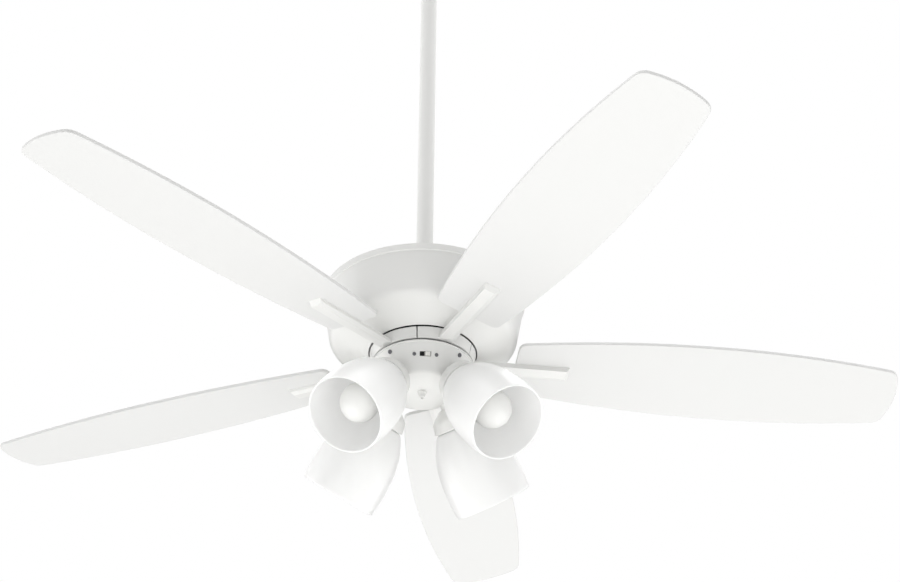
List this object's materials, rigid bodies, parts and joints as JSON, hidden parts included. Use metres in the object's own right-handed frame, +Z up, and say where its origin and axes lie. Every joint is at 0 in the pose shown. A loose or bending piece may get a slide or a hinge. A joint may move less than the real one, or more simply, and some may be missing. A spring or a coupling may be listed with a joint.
{
  "type": "ceiling fan with light kit",
  "caption": "Ceiling fan on a long downrod, with pitched blades around a bowl-shaped motor housing and a light kit of tilted opal glass shades below it.",
  "frame": {"origin": "middle of the hanger bracket's face that meets the ceiling, between its two outlet box holes", "axes": "+Z up out of the ceiling face, so the fan hangs towards -Z; +X along the line of the two box holes; -Y is the side of the reversing switch"},
  "size_m": [1.4327, 1.4579, 1.2646],
  "materials": {
    "white_paint": "satin white powder coat",
    "white_blade": "satin white painted plywood",
    "opal_glass": "acid-etched opal white glass",
    "frosted_bulb": "frosted white lamp glass on a threaded base",
    "zinc_steel": "zinc plated steel",
    "cast_aluminium": "die cast",
    "iron_core": "varnished iron",
    "copper_wire": "enamelled copper",
    "flywheel_rubber": "moulded rubber",
    "black_plastic": "moulded nylon",
    "white_plastic": "moulded phenolic"
  },
  "bodies": {
    "ceiling_mount": {"hanger_bracket": "zinc_steel", "canopy": "white_paint", "canopy_screws": "white_paint"},
    "suspension": {"hanger_ball": "black_plastic", "ball_cross_pin": "zinc_steel", "downrod": "white_paint", "motor_yoke": "iron_core", "clevis_pin": "zinc_steel", "cotter_pin": "zinc_steel", "yoke_screws": "zinc_steel", "coupling_cover": "white_paint", "housing_bowl": "white_paint", "housing_cover": "white_paint", "housing_screws": "zinc_steel", "motor_shaft": "zinc_steel", "hanger_plate": "zinc_steel", "stator_core": "iron_core", "stator_windings": "copper_wire", "shaft_collars": "zinc_steel", "fitter_plate": "zinc_steel", "shaft_nuts": "zinc_steel", "switch_cup": "white_paint", "cup_screws": "white_paint", "bottom_finial": "white_paint", "stud_nuts": "zinc_steel", "reversing_switch": "black_plastic", "switch_screws": "white_paint", "lampholders": "white_plastic", "shade_rings": "white_plastic", "shade_1": "opal_glass", "lamp_cap_1": "white_paint", "bulb_1": "frosted_bulb", "shade_2": "opal_glass", "lamp_cap_2": "white_paint", "bulb_2": "frosted_bulb", "shade_3": "opal_glass", "lamp_cap_3": "white_paint", "bulb_3": "frosted_bulb", "shade_4": "opal_glass", "lamp_cap_4": "white_paint", "bulb_4": "frosted_bulb"},
    "rotor": {"rotor_shell_lower": "cast_aluminium", "rotor_shell_upper": "cast_aluminium", "rotor_core": "iron_core", "bearings": "zinc_steel", "motor_bolts": "zinc_steel", "flywheel": "flywheel_rubber", "blade_screws": "zinc_steel", "arm_screws": "zinc_steel", "blade_1": "white_blade", "blade_2": "white_blade", "blade_3": "white_blade", "blade_4": "white_blade", "blade_5": "white_blade", "blade_arm_1": "white_paint", "blade_arm_2": "white_paint", "blade_arm_3": "white_paint", "blade_arm_4": "white_paint", "blade_arm_5": "white_paint"},
    "reverse_slider": {"reversing_knob": "white_plastic"}
  },
  "joints": [
    {"name": "hanger_tilt", "type": "hinge", "parent": "ceiling_mount", "child": "suspension", "pos_m": [0, 0, -0.04], "axis": [1, 0, 0], "range_deg": [-12, 12]},
    {"name": "rotor_spin", "type": "hinge", "parent": "suspension", "child": "rotor", "pos_m": [0, 0, -1.0454], "axis": [0, 0, 1], "continuous": true},
    {"name": "reverse_switch", "type": "slide", "parent": "suspension", "child": "reverse_slider", "axis": [-1, 0, 0], "range_m": [0, 0.0072]}
  ]
}
